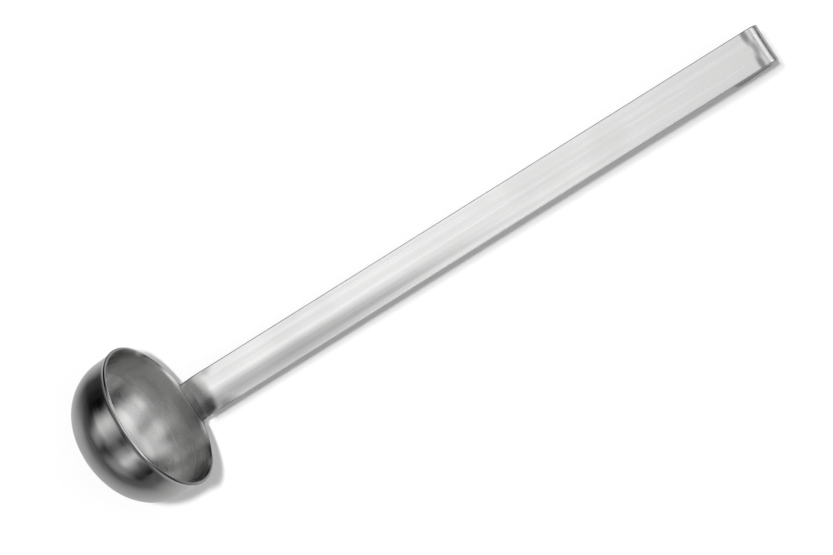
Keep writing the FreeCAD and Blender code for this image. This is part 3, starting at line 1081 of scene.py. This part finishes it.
@dataclass
class Handle:
    """Strap with a dished neck, a flat shank and an end folded under as a hook."""

    weld: Weld
    foot_height: float = 2.0 * MM
    neck_bend_radius: float = 17.0 * MM
    lean: float = math.radians(28.0)
    neck_run: float = 4.0 * MM
    shank_length: float = 300.0 * MM
    hook_radius: float = 4.2 * MM
    hook_angle: float = math.radians(158.0)
    hook_leg: float = 20.0 * MM
    tip_radius: float = 3.5 * MM
    saddle: float = 0.2 * MM
    foot_steps: int = 6
    neck_steps: int = 20
    run_steps: int = 6
    shank_steps: int = 150
    hook_steps: int = 48
    leg_steps: int = 8
    tip_steps: int = 14

    @property
    def neck_length(self) -> float:
        """Length of the front over the dished neck."""
        return self.foot_height + self.neck_bend_radius * self.lean + self.neck_run

    @property
    def hook_outside(self) -> float:
        """Radius of the front in the hook's bend."""
        return self.hook_radius + self.weld.strap_thickness

    def front_line(self) -> list[Pair]:
        """Middle line of the strap's front.

        Returns:
            Its points from the weld to the hook's tip.
        """
        track = Track((self.weld.foot_radius, self.weld.height))
        track.straight(self.foot_height, self.foot_steps)
        track.bend(self.neck_bend_radius, self.lean, self.neck_steps)
        track.straight(self.neck_run, self.run_steps)
        track.straight(self.shank_length, self.shank_steps)
        track.bend(self.hook_outside, self.hook_angle, self.hook_steps)
        track.straight(self.hook_leg - self.tip_radius, self.leg_steps)
        track.ease_in(self.tip_radius, self.tip_steps)
        return track.points

    def rest_tilt(self) -> float:
        """Angle of the bowl's axis above the table, with the bowl and the hook's tip both touching it.

        Returns:
            The angle in radians.
        """
        bowl = self.weld.bowl
        rounding = self.weld.edge_round
        turned = self.lean + self.hook_angle
        tip_x, tip_z = self.front_line()[-1]
        corner_x, corner_z = bowl.corner_centre
        x = corner_x - tip_x - rounding * (math.cos(turned) - math.sin(turned))
        z = corner_z - tip_z + rounding * (math.cos(turned) + math.sin(turned))
        swing = math.acos((rounding - bowl.corner_radius) / math.hypot(x, z))
        return -swing - math.atan2(z, x)

    def sweep(self) -> Tree:
        """Tree that runs the strap's section along its front line.

        Returns:
            The tree, which also dishes the neck, curls the hook's edges and rounds the tip.
        """
        group = Group(
            TreeKind.GEOMETRY, "strap_along_line",
            {"Line": Kind.GEOMETRY, "Section": Kind.OBJECT, "Width": Kind.NUMBER, "Thickness": Kind.NUMBER,
             "Edge radius": Kind.NUMBER, "Tip radius": Kind.NUMBER, "Dish radius": Kind.NUMBER,
             "Neck length": Kind.NUMBER, "Bend start": Kind.NUMBER, "Bend length": Kind.NUMBER,
             "Saddle": Kind.NUMBER, "Finish": Kind.MATERIAL},
            {"Strap": Kind.GEOMETRY},
        )
        given = group.given
        position = group.add("GeometryNodeInputPosition").outputs[0]
        line = group.capture(given["Line"], {
            "Place": ("VECTOR", position),
            "Tangent": ("VECTOR", group.add("GeometryNodeInputTangent").outputs[0]),
            "Along": ("FLOAT", group.add("GeometryNodeSplineParameter").outputs["Length"]),
            "Length": ("FLOAT", group.add("GeometryNodeSplineLength").outputs["Length"]),
        }).outputs
        shape = group.add("GeometryNodeObjectInfo", {"Object": given["Section"]}).outputs["Geometry"]
        section = group.capture(shape, {"Spot": ("VECTOR", position)}).outputs
        inputs = {"Curve": line["Geometry"], "Profile Curve": section["Geometry"], "Fill Caps": True}
        swept = group.add("GeometryNodeCurveToMesh", inputs).outputs[0]
        along = line["Along"]
        left = group.math("SUBTRACT", line["Length"], along)
        spot_x, spot_y, _ = group.parts(section["Spot"])
        narrowed = rounded_share(group, left, given["Tip radius"], given["Width"])
        across = group.math("MULTIPLY", spot_x, narrowed)
        middle = group.math("MULTIPLY", given["Thickness"], 0.5)
        thinned = rounded_share(group, left, given["Edge radius"], given["Thickness"])
        from_middle = group.math("MULTIPLY", group.math("SUBTRACT", spot_y, middle), thinned)
        depth = group.math("ADD", middle, from_middle)
        dished = group.math("SUBTRACT", depth, neck_dish(group, along, across))
        deep = group.math("SUBTRACT", dished, hook_curl(group, along, across))
        backwards = group.vector("CROSS_PRODUCT", (0, 1, 0), line["Tangent"])
        place = group.vector("ADD", line["Place"], group.scaled(backwards, deep))
        place = group.vector("ADD", place, group.xyz(0.0, across, 0.0))
        moved = group.add("GeometryNodeSetPosition", {"Geometry": swept, "Position": place}).outputs[0]
        strap = group.ready(moved, group.xyz(along, across, depth), line["Tangent"])
        return group.give({"Strap": group.dressed(strap, given["Finish"])})

    def build(self, finish: Material, place: Matrix) -> Item:
        """Make the handle.

        Args:
            finish: its steel.
            place: where the bowl's frame lies.

        Returns:
            The handle's object.
        """
        section = curve_object("strap_section", [(*spot, 0.0) for spot in self.weld.strap()], True)
        line = curve_object("strap_line", [(x, 0.0, z) for x, z in self.front_line()], False)
        inputs = {
            "Section": section,
            "Width": self.weld.strap_width,
            "Thickness": self.weld.strap_thickness,
            "Edge radius": self.weld.edge_round,
            "Tip radius": self.tip_radius,
            "Dish radius": self.weld.foot_radius,
            "Neck length": self.neck_length,
            "Bend start": self.neck_length + self.shank_length,
            "Bend length": self.hook_outside * self.hook_angle,
            "Saddle": self.saddle,
            "Finish": finish,
        }
        piece = grown(Piece.HANDLE, line, self.sweep(), inputs, place)
        bpy.data.objects.remove(section)
        return piece


# Studio


@dataclass(frozen=True)
class SoftBox:
    """Rounded rectangle of light, or a dark card, far away in one direction; angles are in degrees."""

    name: str
    azimuth: float
    from_zenith: float
    half_width: float
    half_height: float
    strength: float
    core: float
    squareness: float = 4.0

    def cover(self, nodes: Nodes, direction: Socket) -> Socket:
        """How much of the box lies in a direction.

        Args:
            nodes: the world's tree.
            direction: the direction that is looked in.

        Returns:
            The box's strength in its core, falling to zero at its edge.
        """
        turn = math.radians(self.azimuth)
        fall = math.radians(self.from_zenith)
        middle = (math.sin(fall) * math.cos(turn), math.sin(fall) * math.sin(turn), math.cos(fall))
        sideways = (-math.sin(turn), math.cos(turn), 0.0)
        downwards = (math.cos(fall) * math.cos(turn), math.cos(fall) * math.sin(turn), -math.sin(fall))
        ahead = nodes.dot(direction, middle)
        powers = []
        for axis, half in ((sideways, self.half_width), (downwards, self.half_height)):
            angle = nodes.math("ARCTAN2", nodes.dot(direction, axis), ahead)
            share = nodes.math("DIVIDE", angle, math.radians(half))
            powers.append(nodes.math("POWER", share, self.squareness))
        reach = nodes.math("POWER", nodes.math("ADD", *powers), 1 / self.squareness)
        cover = nodes.math("MULTIPLY", nodes.ranged(reach, self.core, 1.0, 1.0, 0.0), self.strength)
        cover.node.label = self.name
        return cover


# Azimuth, angle from the zenith, half width, half height, strength and core of each box
LIGHTS = (
    SoftBox("dome", -3.0, 6.0, 65.0, 78.0, 0.64, 0.6),
    SoftBox("zenith", 108.0, 12.0, 18.0, 19.5, 0.65, 0.5),
    SoftBox("front_left", 36.0, 44.0, 21.0, 20.0, 0.46, 0.5),
    SoftBox("front_right", 340.0, 57.0, 29.5, 28.5, 0.82, 0.45),
    SoftBox("back_right", 270.0, 43.5, 10.0, 24.5, 1.4, 0.4),
    SoftBox("left_window", 142.0, 59.5, 29.0, 18.5, 0.93, 0.1),
    SoftBox("left_window_foot", 163.0, 79.5, 18.5, 13.0, 0.35, 0.05),
    SoftBox("right_window", 223.0, 59.0, 22.0, 15.0, 1.03, 0.1),
    SoftBox("right_window_foot", 206.0, 85.0, 32.5, 41.5, 0.31, 0.05),
    SoftBox("left_wall", 85.0, 52.0, 9.0, 25.0, 0.74, 0.4),
    SoftBox("right_wall", 270.0, 80.5, 18.5, 23.0, 0.54, 0.4),
    SoftBox("front_wall", 34.5, 70.0, 18.5, 3.0, 0.77, 0.4),
)
DARK_CARDS = (
    SoftBox("camera_side", 131.0, 38.0, 20.0, 20.5, 0.94, 0.7),
    SoftBox("lens", -6.5, 25.0, 11.5, 17.5, 0.94, 0.25),
    SoftBox("window_gap", 187.0, 61.5, 12.5, 21.5, 0.77, 0.15),
)


@dataclass(frozen=True)
class Key:
    """Soft key light from the upper left, far away, whose angle softens its shadows."""

    name: str
    leaning: Triple
    angle: float
    strength: float

    def shine(self, blockers: list[Item]) -> Item:
        """Light the floor.

        Args:
            blockers: pieces that cast a shadow in this light.

        Returns:
            The light's object.
        """
        data = bpy.data.lights.new(self.name, "SUN")
        data.energy = self.strength
        data.angle = self.angle
        shadow = bpy.data.collections.new(self.name + "_shadow")
        for piece in blockers:
            shadow.objects.link(piece)
        light = in_scene(self.name, data)
        light.rotation_euler = Vector(self.leaning).to_track_quat("Z", "Y").to_euler()
        light.visible_glossy = False
        light.light_linking.blocker_collection = shadow
        return light


STRAP_KEY = Key("strap_key", (-0.3, 0.21, 1.0), math.radians(11.0), 2.7)
BOWL_KEY = Key("bowl_key", (-0.19, 0.035, 1.0), math.radians(5.0), 1.7)
BOTH_KEY = Key("both_key", (-0.2, 0.068, 1.0), math.radians(5.0), 3.8)


@dataclass
class Studio:
    """Pale floor, soft light and the camera at the photograph's view."""

    camera_place: Triple = (-0.20269, -0.16312, 1.73128)
    camera_target: Triple = (-0.01111, -0.00526, 0.0)
    picture_up: float = math.radians(57.526)
    lens: float = 159.56
    sensor: float = 36.0
    floor_size: float = 12.0
    floor_white: float = 0.33
    floor_roughness: float = 0.9
    # Floor colour seen only in reflections: a painted pool of light, brightest at its middle, and a painted
    # shadow wedge beside the bowl
    mirrored_near: float = 0.33
    mirrored_far: float = 0.035
    lit_pool_middle: Triple = (0.0, 0.11, 0.0)
    lit_pool_radius: float = 0.45
    bowl_middle: Triple = (-0.15, 0.0, 0.0)
    wedge_turn: float = math.radians(95.0)
    wedge_wide: float = math.radians(63.0)
    wedge_narrow: float = math.radians(4.0)
    wedge_from: float = 0.02
    wedge_to: float = 0.15
    wedge_strength: float = 0.95
    room: float = 0.002
    backdrop: float = 0.95

    def camera(self) -> Item:
        """Camera at the photograph's view.

        Returns:
            The camera, whose upward direction lies along the table's direction picture_up.
        """
        data = bpy.data.cameras.new("camera")
        data.lens = self.lens
        data.sensor_width = self.sensor
        place = Vector(self.camera_place)
        back = (place - Vector(self.camera_target)).normalized()
        upward = Vector((math.cos(self.picture_up), math.sin(self.picture_up), 0.0))
        right = upward.cross(back).normalized()
        turned = Matrix((right, back.cross(right), back)).transposed().to_4x4()
        camera = in_scene("camera", data)
        camera.matrix_world = Matrix.Translation(place) @ turned
        bpy.context.scene.camera = camera
        return camera

    def mirrored_floor(self, nodes: Nodes) -> Socket:
        """Floor in reflections: a painted pool of light fading outwards, with a painted shadow wedge beside
        the bowl.

        Args:
            nodes: the floor material's tree.

        Returns:
            The shade.
        """
        place = nodes.add("ShaderNodeTexCoord").outputs["Object"]
        far = nodes.length(nodes.vector("SUBTRACT", place, self.lit_pool_middle))
        lit_pool = nodes.ranged(far, 0.0, self.lit_pool_radius, self.mirrored_near, self.mirrored_far)
        # Painted shadow: the floor darkens in a wedge beside the bowl.
        spot = nodes.vector("SUBTRACT", place, self.bowl_middle)
        aim = (math.cos(self.wedge_turn), math.sin(self.wedge_turn), 0.0)
        heading = nodes.dot(nodes.vector("NORMALIZE", spot), aim)
        edges = (math.cos(self.wedge_wide), math.cos(self.wedge_narrow))
        turned = nodes.ranged(heading, *edges, 0.0, self.wedge_strength)
        away = nodes.ranged(nodes.length(spot), self.wedge_from, self.wedge_to)
        painted_shadow_wedge = nodes.math("MULTIPLY", turned, away)
        return nodes.math("MULTIPLY", lit_pool, nodes.math("SUBTRACT", 1.0, painted_shadow_wedge))

    def floor(self) -> Item:
        """Plain pale floor under the ladle, greyer where the steel mirrors it, with painted light and shadow
        there.

        Returns:
            The floor's object.
        """
        half = self.floor_size / 2
        mesh = bpy.data.meshes.new("floor")
        mesh.from_pydata([(-half, -half, 0), (half, -half, 0), (half, half, 0), (-half, half, 0)],
                         [], [(0, 1, 2, 3)])
        material, nodes, shader = new_material("floor_white")
        seen = nodes.add("ShaderNodeLightPath").outputs["Is Camera Ray"]
        inputs = {"Factor": seen, "A": self.mirrored_floor(nodes), "B": self.floor_white}
        shade = nodes.add("ShaderNodeMix", inputs).outputs[0]
        nodes.feed(shader.inputs["Base Color"], nodes.xyz(shade, shade, shade))
        shader.inputs["Roughness"].default_value = self.floor_roughness
        shader.inputs["Specular IOR Level"].default_value = 0.0
        mesh.materials.append(material)
        floor = in_scene("floor", mesh)
        return floor

    def world(self) -> None:
        """Soft boxes and dark cards round the ladle, with a plain pale backdrop for the camera."""
        world = bpy.data.worlds.new("studio")
        world.use_nodes = True
        nodes = Nodes(world.node_tree)
        direction = nodes.add("ShaderNodeTexCoord").outputs["Generated"]
        light = self.room
        for box in LIGHTS:
            light = nodes.math("ADD", light, box.cover(nodes, direction))
        for card in DARK_CARDS:
            light = nodes.math("MULTIPLY", light, nodes.math("SUBTRACT", 1.0, card.cover(nodes, direction)))
        seen = nodes.add("ShaderNodeLightPath").outputs["Is Camera Ray"]
        shade = nodes.math("ADD", nodes.math("MULTIPLY", light, nodes.math("SUBTRACT", 1.0, seen)),
                           nodes.math("MULTIPLY", seen, self.backdrop))
        background = world.node_tree.nodes["Background"]
        nodes.feed(background.inputs["Color"], nodes.xyz(shade, shade, shade))
        bpy.context.scene.world = world
        bpy.context.scene.view_settings.view_transform = "Standard"


def main() -> None:
    """Build the ladle's pieces, dress them and light them."""
    logging.basicConfig(level=logging.INFO)
    brush = brush_tree()
    handling = handling_tree()
    bowl = Bowl()
    weld = Weld(bowl)
    handle = Handle(weld)
    place = bowl.laid_down(handle.rest_tilt())
    outside = BOWL_OUTSIDE.material(brush, handling)
    inside = BOWL_INSIDE.material(brush, handling)
    bowl_piece = bowl.build(outside, inside, place)
    weld_piece = weld.build(WELD_STEEL.material(brush, handling), place)
    handle_piece = handle.build(STRAP_STEEL.material(brush, handling), place)
    hand_over(bowl_piece, Piece.BOWL)
    hand_over(weld_piece, Piece.WELD)
    hand_over(handle_piece, Piece.HANDLE)
    studio = Studio()
    studio.camera()
    studio.floor()
    STRAP_KEY.shine([handle_piece])
    BOWL_KEY.shine([bowl_piece, weld_piece])
    BOTH_KEY.shine([bowl_piece, weld_piece, handle_piece])
    studio.world()


if __name__ == "__main__":
    main()
